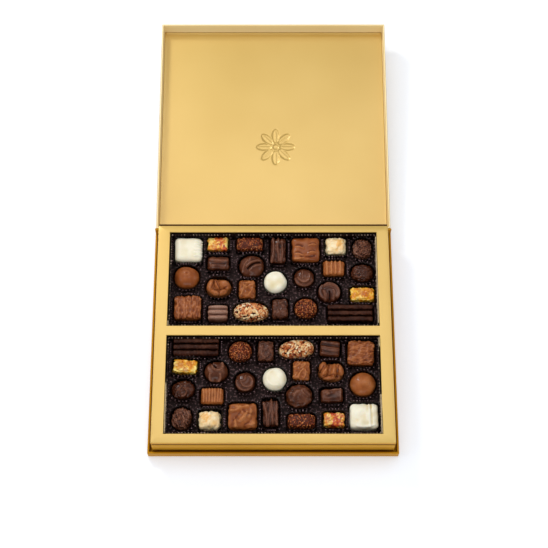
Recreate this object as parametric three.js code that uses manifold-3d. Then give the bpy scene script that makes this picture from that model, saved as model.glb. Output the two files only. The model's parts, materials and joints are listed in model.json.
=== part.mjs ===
// Open gold gift box of chocolate pralines. Millimetres, +Z up, the viewer at -Y.
// The origin is the middle of the base's underside. The lid is hinged along the rear shoulder.
import * as THREE from "three";
import { mergeVertices } from "three/addons/utils/BufferGeometryUtils.js";
import Module from "manifold-3d";

const wasm = await Module();
wasm.setup();

// Box. The rear wall of the outer tray stands higher than the others and carries the lid.
const trayWidth = 248;
const boxWidth = 246;
const boxDepth = 240;
const boardThickness = 2;
const wallHeight = 11;
const shoulderHeight = 20;
const lidHeight = 20;
const seatGap = 0.3;

// Gold frame that stands inside the base and shows the two trays
const frameWidth = 238;
const frameDepth = 232;
const frameTop = 35.5;
const windowWidth = 213.5;
const rearWindow = { rear: 108.4, front: 5.2 };
const frontWindow = { rear: -5.0, front: -106.6 };

// Lid
const openAngle = 175;
const linerThickness = 2;
const linerMargin = 1;

// Beds of paper cups
const cupRim = 25.5;
const cupFloor = 16;
const cupSlack = 1.1;
const bedMargin = 0.5;

// Rows of pieces: how far they reach to the rear and front of the middle of their tray
const rowReach = { rear: 48, front: -44.5 };
const sideShift = 1;
const rearShift = { rear: 1, front: 3.6 };

// Each piece is set down a little turned, by up to this many radians in all
const looseTurn = 0.09;
const looseSeed = { rear: 12, front: 31 };

// Sides of the outline of a moulded piece: a square one needs a corner at every 22.5 degrees
const squareSides = 16;
const roundSides = 12;

const gold = { color: 0xe4c070, roughness: 0.32, metalness: 0.75 };
const darkPaper = { color: 0x24100c, roughness: 0.8, metalness: 0 };
const milk = { color: 0x97603f, roughness: 0.4, metalness: 0 };
const dark = { color: 0x4a3028, roughness: 0.38, metalness: 0 };
const white = { color: 0xf1edd6, roughness: 0.42, metalness: 0 };
const cream = { color: 0xf6dfae, roughness: 0.5, metalness: 0 };
const honey = { color: 0xeab54e, roughness: 0.3, metalness: 0 };
const brittle = { color: 0xe0a04a, roughness: 0.3, metalness: 0 };
const nutChip = { color: 0xd9a878, roughness: 0.6, metalness: 0 };
const sprinkle = { color: 0x7c4a30, roughness: 0.45, metalness: 0 };

const box = new THREE.Group();

// A small repeatable random source, so that every run gives the same pieces
function seeded(seed) {
  let state = seed * 7919 + 17;
  return () => {
    state = (state * 16807) % 2147483647;
    return state / 2147483647;
  };
}

// The closed solid of a three.js geometry
function solid(geometry) {
  const bare = geometry.clone();
  bare.deleteAttribute("normal");
  bare.deleteAttribute("uv");
  const merged = mergeVertices(bare, 1e-4);
  const index = Array.from(merged.index.array);
  const kept = [];
  for (let i = 0; i < index.length; i += 3) {
    const [a, b, c] = index.slice(i, i + 3);
    if (a !== b && b !== c && a !== c) kept.push(a, b, c);
  }
  return new wasm.Manifold(new wasm.Mesh({
    numProp: 3,
    vertProperties: new Float32Array(merged.attributes.position.array),
    triVerts: new Uint32Array(kept),
  }));
}

// The three.js geometry of a solid
function surface(body) {
  const mesh = body.getMesh();
  const geometry = new THREE.BufferGeometry();
  geometry.setAttribute("position", new THREE.BufferAttribute(new Float32Array(mesh.vertProperties), 3));
  geometry.setIndex(new THREE.BufferAttribute(new Uint32Array(mesh.triVerts), 1));
  geometry.computeVertexNormals();
  return geometry;
}

// Names a body, gives it its material and puts it in a group
function add(group, name, geometry, look) {
  const mesh = new THREE.Mesh(geometry, new THREE.MeshStandardMaterial(look));
  mesh.name = name;
  group.add(mesh);
  return mesh;
}

// A plain box given by its two corners
function slab(x0, x1, y0, y1, z0, z1) {
  const geometry = new THREE.BoxGeometry(x1 - x0, y1 - y0, z1 - z0);
  return geometry.translate((x0 + x1) / 2, (y0 + y1) / 2, (z0 + z1) / 2);
}

// The outer tray: a floor, three low walls and the rear wall up to the shoulder
function outerTray() {
  const x = trayWidth / 2;
  const y = boxDepth / 2;
  const t = boardThickness;
  const low = solid(slab(-x, x, -y, y, 0, wallHeight));
  const rear = solid(slab(-x, x, y - t, y, 0, shoulderHeight));
  const inner = solid(slab(-x + t, x - t, -y + t, y - t, t, shoulderHeight));
  return surface(low.subtract(inner).add(rear));
}

// The frame: a thick card border with a bar between its two windows
function frame() {
  const bottom = boardThickness + seatGap;
  let body = solid(slab(-frameWidth / 2, frameWidth / 2, -frameDepth / 2, frameDepth / 2, bottom, frameTop));
  for (const opening of [rearWindow, frontWindow]) {
    const cut = slab(
      -windowWidth / 2, windowWidth / 2, opening.front, opening.rear, bottom - 1, frameTop + 1,
    );
    body = body.subtract(solid(cut));
  }
  return surface(body);
}

// The lid shell as it is when closed, measured from the hinge line
function lidShell() {
  const x = boxWidth / 2;
  const t = boardThickness;
  const outer = slab(-x, x, -boxDepth, 0, seatGap, lidHeight);
  const inner = slab(-x + t, x - t, -boxDepth + t, -t, seatGap - 1, lidHeight - t);
  return surface(solid(outer).subtract(solid(inner)));
}

// The lid's liner: a card pad with rounded corners on the inside of the lid
function lidLiner() {
  const x = boxWidth / 2 - boardThickness - linerMargin;
  const rear = -boardThickness - linerMargin;
  const front = -boxDepth + boardThickness + linerMargin;
  const corner = 2;
  const outline = roundedRectangle(2 * x, rear - front, corner);
  const extent = { depth: linerThickness, bevelEnabled: false, curveSegments: 2 };
  const pad = new THREE.ExtrudeGeometry(outline, extent);
  const bottom = lidHeight - boardThickness - seatGap - linerThickness;
  return pad.translate(0, (rear + front) / 2, bottom);
}

function roundedRectangle(width, depth, radius) {
  const x = width / 2;
  const y = depth / 2;
  const shape = new THREE.Shape();
  shape.moveTo(-x + radius, -y);
  shape.lineTo(x - radius, -y);
  shape.absarc(x - radius, -y + radius, radius, -Math.PI / 2, 0, false);
  shape.lineTo(x, y - radius);
  shape.absarc(x - radius, y - radius, radius, 0, Math.PI / 2, false);
  shape.lineTo(-x + radius, y);
  shape.absarc(-x + radius, y - radius, radius, Math.PI / 2, Math.PI, false);
  shape.lineTo(-x, -y + radius);
  shape.absarc(-x + radius, -y + radius, radius, Math.PI, 1.5 * Math.PI, false);
  return shape;
}

// Outline factor that turns a circle into a rounded square: power 2 is round, 6 is nearly square
function squareness(angle, power) {
  const sum = Math.abs(Math.cos(angle)) ** power + Math.abs(Math.sin(angle)) ** power;
  return sum ** (-1 / power);
}

// A moulded piece: a turned profile whose circle is drawn out to a rounded rectangle
function moulded({ w, d, h, power, profile, seed, sides = power > 3 ? squareSides : roundSides }) {
  const random = seeded(seed);
  const lobes = [random() * 6, random() * 6];
  const points = profile.map(([r, z]) => new THREE.Vector2(r, z * h));
  const geometry = new THREE.LatheGeometry(points, sides);
  geometry.rotateX(Math.PI / 2);
  const position = geometry.attributes.position;
  for (let i = 0; i < position.count; i += 1) {
    const x = position.getX(i);
    const y = position.getY(i);
    const angle = Math.atan2(y, x);
    const uneven = 1 + 0.012 * Math.sin(2 * angle + lobes[0]) + 0.01 * Math.sin(3 * angle + lobes[1]);
    const reach = squareness(angle, power) * uneven;
    position.setXYZ(i, x * reach * w / 2, y * reach * d / 2, position.getZ(i));
  }
  return geometry;
}

// Profiles from the underside's middle to the top's middle: radius share, height share
const blockProfile = [[0, 0], [0.94, 0], [1, 0.1], [0.97, 0.82], [0.88, 1], [0, 1]];
const domeProfile = [[0, 0], [0.9, 0], [1, 0.12], [0.99, 0.45], [0.86, 0.76], [0.55, 0.95], [0, 1]];
const pocketProfile = [[0, 0], [0.97, 0], [1, 1], [0, 1]];
const pillowProfile = [[0, 0], [0.93, 0], [1, 0.12], [0.98, 0.6], [0.84, 0.9], [0.5, 0.99], [0, 1]];

// A smooth lump with its middle at a place on the piece
function lump(x, y, z, sx, sy, sz, turn = 0, around = 8, down = 5) {
  const geometry = new THREE.SphereGeometry(1, around, down);
  geometry.rotateX(Math.PI / 2);
  geometry.scale(sx, sy, sz);
  geometry.rotateZ(turn);
  return geometry.translate(x, y, z);
}

function fuse(geometries) {
  let body = solid(geometries[0]);
  for (const geometry of geometries.slice(1)) body = body.add(solid(geometry));
  return surface(body);
}

// Raised strokes across the top, as a dipping fork leaves them
function ridges({ base, h, length, width, count, pitch, turn, rise = 0.9 }) {
  const strokes = [base];
  for (let i = 0; i < count; i += 1) {
    const offset = (i - (count - 1) / 2) * pitch;
    const x = -Math.sin(turn) * offset;
    const y = Math.cos(turn) * offset;
    strokes.push(lump(x, y, h - 0.3, length / 2, width / 2, rise + 0.3, turn, 6, 3));
  }
  return fuse(strokes);
}

// Grains pressed into the dome of a piece, spread evenly by the golden angle
function grained({ base, w, d, h, count, grain, seed, dome, power }) {
  const random = seeded(seed);
  const grains = [base];
  const goldenAngle = Math.PI * (3 - Math.sqrt(5));
  for (let i = 0; i < count; i += 1) {
    const share = Math.sqrt((i + 0.5) / count);
    const angle = i * goldenAngle;
    const reach = squareness(angle, power) * share;
    const x = Math.cos(angle) * reach * (w / 2 - grain.length * 0.55);
    const y = Math.sin(angle) * reach * (d / 2 - grain.length * 0.55);
    const z = h * (1 - dome * share ** 3.5);
    const geometry = new THREE.OctahedronGeometry(1);
    const long = grain.length * (0.8 + 0.4 * random());
    const wide = grain.width * (0.8 + 0.4 * random());
    geometry.scale(long, wide, grain.height);
    geometry.rotateX((random() - 0.5) * 0.6);
    geometry.rotateZ(random() * Math.PI);
    grains.push(geometry.translate(x, y, z));
  }
  return fuse(grains);
}

// Kinds of praline. Each gives its size and a function that makes it on the plane z = 0.
function block(w, d, h, look, options = {}) {
  const { power = 7, profile = blockProfile, stroke } = options;
  const make = (seed) => {
    const base = moulded({ w, d, h, power, profile, seed });
    return stroke ? ridges({ base, h, ...stroke }) : base;
  };
  return { w, d, h, look, power, make };
}

function round(w, d, h, look, options = {}) {
  const { profile = domeProfile, stroke } = options;
  return block(w, d, h, look, { power: 2.15, profile, stroke });
}

function nutCluster(w, d, h) {
  const make = (seed) => {
    const random = seeded(seed);
    const foot = { w: w * 0.84, d: d * 0.84, h: h * 0.72, power: 2.3, sides: 10 };
    const parts = [moulded({ ...foot, profile: pillowProfile, seed })];
    const lobes = 5;
    for (let i = 0; i < lobes; i += 1) {
      const angle = (i / lobes) * 2 * Math.PI + 0.4;
      const x = Math.cos(angle) * w * 0.29;
      const y = Math.sin(angle) * d * 0.26;
      const long = w * (0.19 + 0.03 * random());
      parts.push(lump(x, y, h * 0.6, long, d * 0.22, h * 0.36, angle * 0.5 + random(), 8, 5));
    }
    parts.push(lump(0, 0, h * 0.66, w * 0.17, d * 0.2, h * 0.34, 0.5, 8, 5));
    return fuse(parts);
  };
  return { w, d, h, look: milk, power: 2.3, make };
}

function coated(w, d, h, look, power, grain, count, dome) {
  const make = (seed) => {
    const profile = power > 3 ? blockProfile : domeProfile;
    const core = { w: w * 0.95, d: d * 0.95, h: h - 0.8, power };
    const base = moulded({ ...core, profile, seed });
    return grained({ ...core, base, count, grain, seed: seed + 5, dome });
  };
  return { w, d, h, look, power, make };
}

const chip = { length: 2.5, width: 1.6, height: 1.1 };
const nugget = { length: 2.7, width: 1.8, height: 0.8 };
const vermicelli = { length: 1.6, width: 0.6, height: 0.65 };
const roundFall = 0.42;
const flatFall = 0.08;

// Fork strokes on top of the square and round pieces
const shortStrokes = { length: 9, width: 2, count: 4, pitch: 4.6, turn: 0 };
const longStrokes = { length: 21, width: 2.4, count: 3, pitch: 3.6, turn: 1.57 };
const waveStrokes = { length: 14, width: 2.2, count: 4, pitch: 5.2, turn: 0.12 };
const lineStrokes = { length: 17, width: 2.2, count: 4, pitch: 5.2, turn: 1.5 };
const barStrokes = { length: 12, width: 2.4, count: 4, pitch: 4.6, turn: 1.57 };
const wideStrokes = { length: 15, width: 3, count: 3, pitch: 4.6, turn: 0.1 };
const rightStroke = { length: 15, width: 2.2, count: 1, pitch: 1, turn: 0.9 };
const leftStroke = { length: 12, width: 2.2, count: 1, pitch: 1, turn: -0.5 };

// Width, depth and height of every kind
const kinds = {
  white_square: block(29, 26.5, 14.5, white, { stroke: shortStrokes }),
  brittle_bar: coated(22.7, 16, 13, brittle, 6, nugget, 7, flatFall),
  sprinkle_bar: coated(28.2, 14.8, 14, sprinkle, 6, vermicelli, 18, flatFall),
  dark_long_bar: block(15.8, 28.5, 14, dark, { stroke: longStrokes }),
  milk_wave_square: block(28.4, 26.8, 14.5, milk, { stroke: waveStrokes }),
  cream_square: block(22, 20, 15, cream, { power: 5, profile: pillowProfile }),
  dark_crunch_oval: round(20.7, 23, 14.5, dark),
  dark_bar: block(22.6, 15, 13.5, dark),
  dark_large_round: round(27, 24.5, 15, dark, { stroke: rightStroke }),
  milk_dome: round(25.7, 25, 16, milk),
  milk_nut_cluster: nutCluster(30, 22.5, 15.5),
  milk_small_square: block(17.5, 20.3, 14.5, milk),
  white_round: round(23.9, 23.4, 15.5, white),
  dark_small_round: round(21, 21, 15, dark),
  milk_ridged_bar: block(22.1, 16.5, 13.5, milk, { stroke: barStrokes }),
  dark_wide_oval: round(23.6, 19.8, 14.5, dark),
  dark_swirl_round: round(23.5, 22.2, 15.5, dark, { stroke: leftStroke }),
  honey_nut_bar: coated(26.4, 16, 12.5, honey, 6, nugget, 8, flatFall),
  milk_line_square: block(27.2, 25.6, 14.5, milk, { stroke: lineStrokes }),
  dark_wave_bar: block(20.3, 17, 14, dark, { stroke: wideStrokes }),
  chopped_nut_oval: coated(38.2, 21.2, 16.5, nutChip, 2.2, chip, 26, roundFall),
  dark_small_bar: block(16.8, 21.8, 14, dark),
  sprinkle_ball: coated(24.2, 23, 16.5, sprinkle, 2, vermicelli, 22, roundFall),
};

// Sticks: three thin bars side by side at the end of the last row
const stick = { count: 3, length: 45.5, width: 5, h: 14, corner: 0.8, pitch: 6.5, x: 77, front: -42.2 };
const stickRowEnd = -23.2;

// Columns of a tray from left to right, each listed from the rear to the front. The number
// beside a piece is how far to the right of the tray's middle it sits.
const columns = [
  {
    front: rowReach.front,
    pieces: { white_square: -88.4, milk_dome: -89.4, milk_line_square: -88.4 },
  },
  {
    front: rowReach.front,
    pieces: { brittle_bar: -58.6, dark_bar: -57.4, milk_nut_cluster: -57.3, dark_wave_bar: -57.2 },
  },
  {
    front: rowReach.front,
    pieces: {
      sprinkle_bar: -26.2, dark_large_round: -24.6, milk_small_square: -27.2, chopped_nut_oval: -23.4,
    },
  },
  {
    front: rowReach.front + 1.2,
    pieces: { dark_long_bar: 4, white_round: 0, dark_small_bar: 7.2 },
  },
  {
    front: rowReach.front + 0.8,
    pieces: { milk_wave_square: 32.4, dark_small_round: 30.4, sprinkle_ball: 33.6 },
  },
  {
    front: stickRowEnd,
    pieces: { cream_square: 63.4, milk_ridged_bar: 61.4, dark_swirl_round: 57.8 },
  },
  {
    front: stickRowEnd,
    pieces: { dark_crunch_oval: 91, dark_wide_oval: 90.8, honey_nut_bar: 88.6 },
  },
];

// Where a piece lies off its place in an even column, to the right and to the rear, in each tray
const offsets = {
  rear: {
    brittle_bar: [0, 1.4], cream_square: [0.4, 1.6], dark_bar: [-0.4, 2.6], dark_large_round: [1.2, -0.5],
    dark_small_bar: [-1.4, 1.4], dark_small_round: [0.4, 3.5], dark_swirl_round: [-1.4, -0.4],
    honey_nut_bar: [1.4, 0.4], milk_dome: [-0.4, 3], milk_line_square: [0.4, 1.4],
    milk_nut_cluster: [0.4, 1.4], milk_small_square: [-0.4, -0.4], sprinkle_ball: [-1.4, 2],
    sprinkle_bar: [0.9, 0.4], white_round: [1.4, -0.4],
  },
  front: {
    brittle_bar: [0.4, 2.6], chopped_nut_oval: [-1.4, 2.4], dark_bar: [-0.4, 4.6],
    dark_large_round: [0.4, 4.1], dark_long_bar: [0.4, 2.6], dark_small_bar: [-1.4, 1.4],
    dark_small_round: [1.4, 1.6], dark_wave_bar: [-1.4, 0], dark_wide_oval: [0.4, 2.6],
    honey_nut_bar: [-0.4, 2.6], milk_dome: [-1.4, 0.4], milk_line_square: [-1.4, -0.4],
    milk_nut_cluster: [-0.4, 4.4], milk_small_square: [-0.4, 3.6], milk_wave_square: [1.4, 0.4],
    sprinkle_ball: [-0.4, 1.6], sprinkle_bar: [0.4, 1.6], white_round: [0.4, 3.1],
  },
};
const stickOffset = { rear: [0, -0.6], front: [-1.4, 1.6] };

// Spreads the pieces of every column evenly between the rear and the front of the row
function placedPieces() {
  const placed = [];
  for (const { front, pieces } of columns) {
    const names = Object.keys(pieces);
    const filled = names.reduce((sum, kind) => sum + kinds[kind].d, 0);
    const space = (rowReach.rear - front - filled) / (names.length - 1);
    let edge = rowReach.rear;
    for (const [kind, x] of Object.entries(pieces)) {
      placed.push({ kind, x, y: edge - kinds[kind].d / 2 });
      edge -= kinds[kind].d + space;
    }
  }
  return placed;
}

// The hollow of one paper cup, as a cutting shape that reaches above the rim
function pocket(w, d, power, seed) {
  const h = cupRim - cupFloor + 1;
  if (power > 3) return slab(-w / 2, w / 2, -d / 2, d / 2, 0, h);
  return moulded({ w, d, h, power, profile: pocketProfile, seed });
}

// One tray: its pieces and the bed of paper cups that holds them
function tray(group, label, opening, halfTurn) {
  const centreY = (opening.rear + opening.front) / 2 + rearShift[label];
  const side = halfTurn ? -1 : 1;
  const random = seeded(looseSeed[label]);
  const bottom = boardThickness + seatGap;
  let bed = solid(slab(
    -windowWidth / 2 + bedMargin, windowWidth / 2 - bedMargin,
    opening.front + bedMargin, opening.rear - bedMargin, bottom, cupRim,
  ));
  placedPieces().forEach(({ kind, x, y }, i) => {
    const { w, d, h, look, power, make } = kinds[kind];
    const turn = (random() - 0.5) * looseTurn + (halfTurn ? Math.PI : 0);
    const [right, back] = offsets[label][kind] ?? [0, 0];
    const placeX = side * x + sideShift + right;
    const placeY = centreY + side * y + back;
    const geometry = make(i + 3).rotateZ(turn).translate(placeX, placeY, cupFloor + seatGap);
    add(group, `${kind}_${label}`, geometry, look);
    const hollow = pocket(w + 2 * cupSlack, d + 2 * cupSlack, power, i + 3);
    bed = bed.subtract(solid(hollow.rotateZ(turn).translate(placeX, placeY, cupFloor)));
  });
  const [stickRight, stickBack] = stickOffset[label];
  const middle = side * stick.x + sideShift + stickRight;
  const rowMiddle = centreY + stickBack;
  const outline = roundedRectangle(stick.width, stick.h, stick.corner);
  const extent = { depth: stick.length, bevelEnabled: false, curveSegments: 2 };
  for (let i = 0; i < stick.count; i += 1) {
    const geometry = new THREE.ExtrudeGeometry(outline, extent);
    geometry.rotateX(Math.PI / 2).rotateZ(Math.PI / 2);
    geometry.translate(-stick.length / 2, 0, stick.h / 2);
    const y = stick.front + i * stick.pitch;
    geometry.translate(middle, rowMiddle + side * y, cupFloor + seatGap);
    add(group, `dark_stick_${i + 1}_${label}`, geometry, dark);
  }
  const half = stick.length / 2 + cupSlack;
  const outerRow = stick.front - stick.width / 2 - cupSlack;
  const innerRow = stick.front + (stick.count - 1) * stick.pitch + stick.width / 2 + cupSlack;
  const ys = [outerRow, innerRow].map((y) => rowMiddle + side * y).sort((a, b) => a - b);
  bed = bed.subtract(solid(slab(middle - half, middle + half, ys[0], ys[1], cupFloor, cupRim + 1)));
  add(group, `paper_cups_${label}`, surface(bed), darkPaper);
}

add(box, "outer_tray", outerTray(), gold);
add(box, "frame", frame(), gold);
tray(box, "rear", rearWindow, false);
tray(box, "front", frontWindow, true);

const lid = new THREE.Group();
lid.position.set(0, boxDepth / 2, shoulderHeight);
lid.rotation.x = THREE.MathUtils.degToRad(-openAngle);
add(lid, "lid_shell", lidShell(), gold);
add(lid, "lid_liner", lidLiner(), gold);
box.add(lid);

export default box;
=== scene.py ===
# Open gold gift box of chocolate pralines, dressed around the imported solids.
# Metres, Z up. The camera stands in front and looks down into the box.
import json
import math
import random

import bmesh
import bpy
from mathutils import Matrix, Vector, noise


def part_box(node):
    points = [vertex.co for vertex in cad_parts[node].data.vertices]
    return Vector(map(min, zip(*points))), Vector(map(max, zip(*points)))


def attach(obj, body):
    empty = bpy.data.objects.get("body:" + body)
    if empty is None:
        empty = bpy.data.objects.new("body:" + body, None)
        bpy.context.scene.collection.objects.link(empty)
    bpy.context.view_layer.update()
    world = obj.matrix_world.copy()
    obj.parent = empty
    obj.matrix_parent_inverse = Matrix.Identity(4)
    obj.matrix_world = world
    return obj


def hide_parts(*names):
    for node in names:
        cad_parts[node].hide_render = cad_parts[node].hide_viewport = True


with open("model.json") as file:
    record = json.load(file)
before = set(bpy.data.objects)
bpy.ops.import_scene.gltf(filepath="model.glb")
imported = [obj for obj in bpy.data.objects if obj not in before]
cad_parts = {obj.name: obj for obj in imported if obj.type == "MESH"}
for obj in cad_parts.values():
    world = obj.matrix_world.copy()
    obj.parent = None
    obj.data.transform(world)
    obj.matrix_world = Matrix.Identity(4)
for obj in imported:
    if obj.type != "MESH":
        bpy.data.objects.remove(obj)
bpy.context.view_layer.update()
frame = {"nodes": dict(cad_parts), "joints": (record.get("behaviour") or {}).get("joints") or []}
scene = bpy.context.scene
mm = 0.001
print("solids loaded:", len(frame["nodes"]))


# Small helpers

def linear(red, green, blue):
    # a screen colour of 0 to 255 as the light values that a shader takes
    def one(value):
        share = value / 255
        return share / 12.92 if share <= 0.04045 else ((share + 0.055) / 1.055) ** 2.4
    return (one(red), one(green), one(blue), 1)


def soft(low, high, value):
    # an even step from 0 to 1 between two values
    share = min(max((value - low) / (high - low), 0), 1)
    return share * share * (3 - 2 * share)


def addPiece(name, bm, body, looks, nodes=(), flat=()):
    # the faces of the looks listed in flat aren't smoothed
    for face in bm.faces:
        face.smooth = face.material_index not in flat
    mesh = bpy.data.meshes.new(name)
    bm.to_mesh(mesh)
    bm.free()
    piece = bpy.data.objects.new(name, mesh)
    scene.collection.objects.link(piece)
    for look in looks:
        mesh.materials.append(look)
    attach(piece, body)
    if nodes:
        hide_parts(*nodes)
    return piece


def keepFlats(piece):
    # the wide faces of the card stay flat beside their rounded folds
    weighted = piece.modifiers.new("flats", "WEIGHTED_NORMAL")
    weighted.mode = "FACE_AREA"
    weighted.weight = 90
    weighted.keep_sharp = True


def boxInMm(node):
    low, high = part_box(node)
    return [side / mm for side in low], [side / mm for side in high]


def toMetres(bm):
    bmesh.ops.scale(bm, vec=(mm, mm, mm), verts=bm.verts)


def solidCopy(node):
    # the solid's own shape as one joined mesh with whole flat faces
    bm = bmesh.new()
    bm.from_mesh(frame["nodes"][node].data)
    bmesh.ops.remove_doubles(bm, verts=bm.verts, dist=1e-6)
    bmesh.ops.dissolve_limit(bm, angle_limit=0.01, verts=bm.verts, edges=bm.edges)
    bmesh.ops.recalc_face_normals(bm, faces=bm.faces)
    return bm


def addBlock(bm, size, centre=(0, 0, 0)):
    verts = bmesh.ops.create_cube(bm, size=1)["verts"]
    bmesh.ops.scale(bm, vec=size, verts=verts)
    bmesh.ops.translate(bm, vec=centre, verts=verts)


def extrudeEdges(bm, edges):
    made = bmesh.ops.extrude_edge_only(bm, edges=edges)["geom"]
    verts = [g for g in made if isinstance(g, bmesh.types.BMVert)]
    return verts, [g for g in made if isinstance(g, bmesh.types.BMEdge)]


def foldsOver(bm, degrees):
    # the edges where two faces meet at more than this angle
    return [e for e in bm.edges if len(e.link_faces) == 2 and e.calc_face_angle() > math.radians(degrees)]


def roundEdges(bm, edges, radius, segments, clamp=True):
    bmesh.ops.bevel(
        bm, geom=edges, offset=radius, offset_type="OFFSET", segments=segments, profile=0.5,
        affect="EDGES", material=-1, clamp_overlap=clamp,
    )


def layerOf(bm, name):
    return bm.verts.layers.float.get(name) or bm.verts.layers.float.new(name)


def gridOnLines(xs, ys):
    # a flat grid whose lines lie at the given places
    bm = bmesh.new()
    bmesh.ops.create_grid(bm, x_segments=len(xs) - 1, y_segments=len(ys) - 1, size=1)
    for v in bm.verts:
        v.co.x = xs[round((v.co.x + 1) / 2 * (len(xs) - 1))]
        v.co.y = ys[round((v.co.y + 1) / 2 * (len(ys) - 1))]
    return bm


# Finishes

def wire(node, sockets):
    # sets the named inputs of a node, or links what feeds them
    for name, value in sockets.items():
        if isinstance(value, bpy.types.NodeSocket):
            node.id_data.links.new(value, node.inputs[name])
        else:
            node.inputs[name].default_value = value
    return node


def newLook(name, rough, metal=0.0, gloss=0.5):
    look = bpy.data.materials.new(name)
    look.use_nodes = True
    shader = look.node_tree.nodes["Principled BSDF"]
    wire(shader, {"Roughness": rough, "Metallic": metal, "Specular IOR Level": gloss})
    return look, look.node_tree, shader


def grainOf(tree, scale, detail=3.0, stretch=(1, 1, 1)):
    place = tree.nodes.new("ShaderNodeTexCoord").outputs["Object"]
    turn = wire(tree.nodes.new("ShaderNodeMapping"), {"Scale": stretch, "Vector": place})
    speckle = tree.nodes.new("ShaderNodeTexNoise")
    wire(speckle, {"Scale": scale, "Detail": detail, "Vector": turn.outputs["Vector"]})
    return speckle.outputs["Fac"]


def rampOf(tree, source, stops):
    ramp = wire(tree.nodes.new("ShaderNodeValToRGB"), {"Fac": source})
    while len(ramp.color_ramp.elements) < len(stops):
        ramp.color_ramp.elements.new(0.5)
    for element, (place, colour) in zip(ramp.color_ramp.elements, stops):
        element.position = place
        element.color = linear(*colour)
    return ramp.outputs["Color"]


def blendOf(tree, share, first, second, mode="MIX"):
    mix = tree.nodes.new("ShaderNodeMix")
    mix.data_type = "RGBA"
    mix.blend_type = mode
    wire(mix, {"Factor": share, 6: first, 7: second})  # 6 and 7 are its two colours
    return mix.outputs[2]


def bumpOf(tree, shader, height, depth, strength):
    bump = tree.nodes.new("ShaderNodeBump")
    wire(bump, {"Distance": depth, "Strength": strength, "Height": height})
    wire(shader, {"Normal": bump.outputs["Normal"]})


def markOf(tree, name):
    mark = tree.nodes.new("ShaderNodeAttribute")
    mark.attribute_name = name
    return mark.outputs["Fac"]


def roughBy(tree, shader, source, low, high):
    spread = wire(tree.nodes.new("ShaderNodeMapRange"), {"To Min": low, "To Max": high, "Value": source})
    wire(shader, {"Roughness": spread.outputs["Result"]})


def addDepth(shader, coat, weight, radius):
    # a thin glossy skin with light scattered below it
    wire(shader, {
        "Coat Weight": coat, "Coat Roughness": 0.12, "Subsurface Weight": weight,
        "Subsurface Radius": radius, "Subsurface Scale": 1.0,
    })


def goldLook(name, deep, pale, rough=0.34, metal=0.42, gloss=0.5, coat=0.9):
    # satin foil paper: fine fibres show as a faint tooth and a slow change of shine
    look, tree, shader = newLook(name, rough, metal, gloss)
    slow = grainOf(tree, 9, 2)
    fibre = grainOf(tree, 900, 4, (1, 0.35, 1))
    wire(shader, {
        "Coat Weight": coat, "Coat Roughness": 0.25,
        "Base Color": rampOf(tree, slow, [(0.3, deep), (0.7, pale)]),
    })
    roughBy(tree, shader, fibre, rough - 0.05, rough + 0.07)
    bumpOf(tree, shader, fibre, depth=0.00006, strength=0.25)
    return look


def chocolateLook(name, deep, mid, pale, rough, gloss, wornAndHighlight, hollow=(140, 120, 112), coat=0.22):
    # tempered chocolate: cloudy brown, paler on the crests as part wear and part painted highlight, darker in
    # the folds as painted shade
    look, tree, shader = newLook(name, rough, gloss=gloss)
    cloud, dust = grainOf(tree, 110, 5), grainOf(tree, 900, 3)
    crest = markOf(tree, "crest")
    body = rampOf(tree, cloud, [(0.3, deep), (0.52, mid), (0.74, pale)])
    # painted shade: the hollows of the relief are darkened
    fold = rampOf(tree, crest, [(0.12, hollow), (0.5, (255, 255, 255))])
    shaded = blendOf(tree, 1.0, body, fold, "MULTIPLY")
    # the crests take a paler colour: part wear, part painted highlight
    bareAndHighlightShare = tree.nodes.new("ShaderNodeMapRange")
    wire(bareAndHighlightShare, {"From Min": 0.58, "From Max": 1.05, "To Max": 0.85, "Value": crest})
    rubAndHighlight = rampOf(tree, dust, [(0.3, pale), (0.65, wornAndHighlight)])
    wire(shader, {"Base Color": blendOf(tree, bareAndHighlightShare.outputs["Result"], shaded, rubAndHighlight)})
    roughBy(tree, shader, cloud, rough - 0.06, rough + 0.1)
    addDepth(shader, coat, 0.08, (0.002, 0.0009, 0.0005))
    bumpOf(tree, shader, dust, depth=0.00018, strength=0.35)
    return look


def stainedLook(name, base, stain, rough, gloss=0.4):
    # a clear or creamy coat with patches of another colour where the piece says so
    look, tree, shader = newLook(name, rough, gloss=gloss)
    patch = grainOf(tree, 330, 4)
    body = rampOf(tree, grainOf(tree, 160, 4), base)
    spots = rampOf(tree, patch, stain)
    wire(shader, {"Base Color": blendOf(tree, markOf(tree, "stain"), body, spots)})
    roughBy(tree, shader, patch, rough - 0.08, rough + 0.12)
    addDepth(shader, 0.25, 0.15, (0.002, 0.0014, 0.0007))
    bumpOf(tree, shader, patch, depth=0.0002, strength=0.4)
    return look


def markedLook(name, mark, stops, rough, gloss, fibre, shadow, share, bump):
    # each part keeps the tint that its mark gives, mottled by its fibre
    look, tree, shader = newLook(name, rough, gloss=gloss)
    mottle = grainOf(tree, *fibre)
    shade = rampOf(tree, mottle, [(0.35, shadow), (0.65, (255, 255, 255))])
    own = rampOf(tree, markOf(tree, mark), stops)
    wire(shader, {"Base Color": blendOf(tree, share, own, shade, "MULTIPLY")})
    bumpOf(tree, shader, mottle, *bump)
    return look


def crumbLook(name, stops, rough):
    # loose crumbs, each of one tint
    return markedLook(name, "tint", stops, rough, 0.35, (700, 3), (225, 215, 205), 0.8, (0.00012, 0.3))


def paperLook(name, rough, gloss, stops, scale=500):
    # thin glassine paper: the tips of its pleats are painted pale plum as a highlight
    fibre = (scale, 4, (1, 1, 0.3))
    return markedLook(name, "tip", stops, rough, gloss, fibre, (190, 180, 180), 0.9, (0.0001, 0.4))


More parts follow.
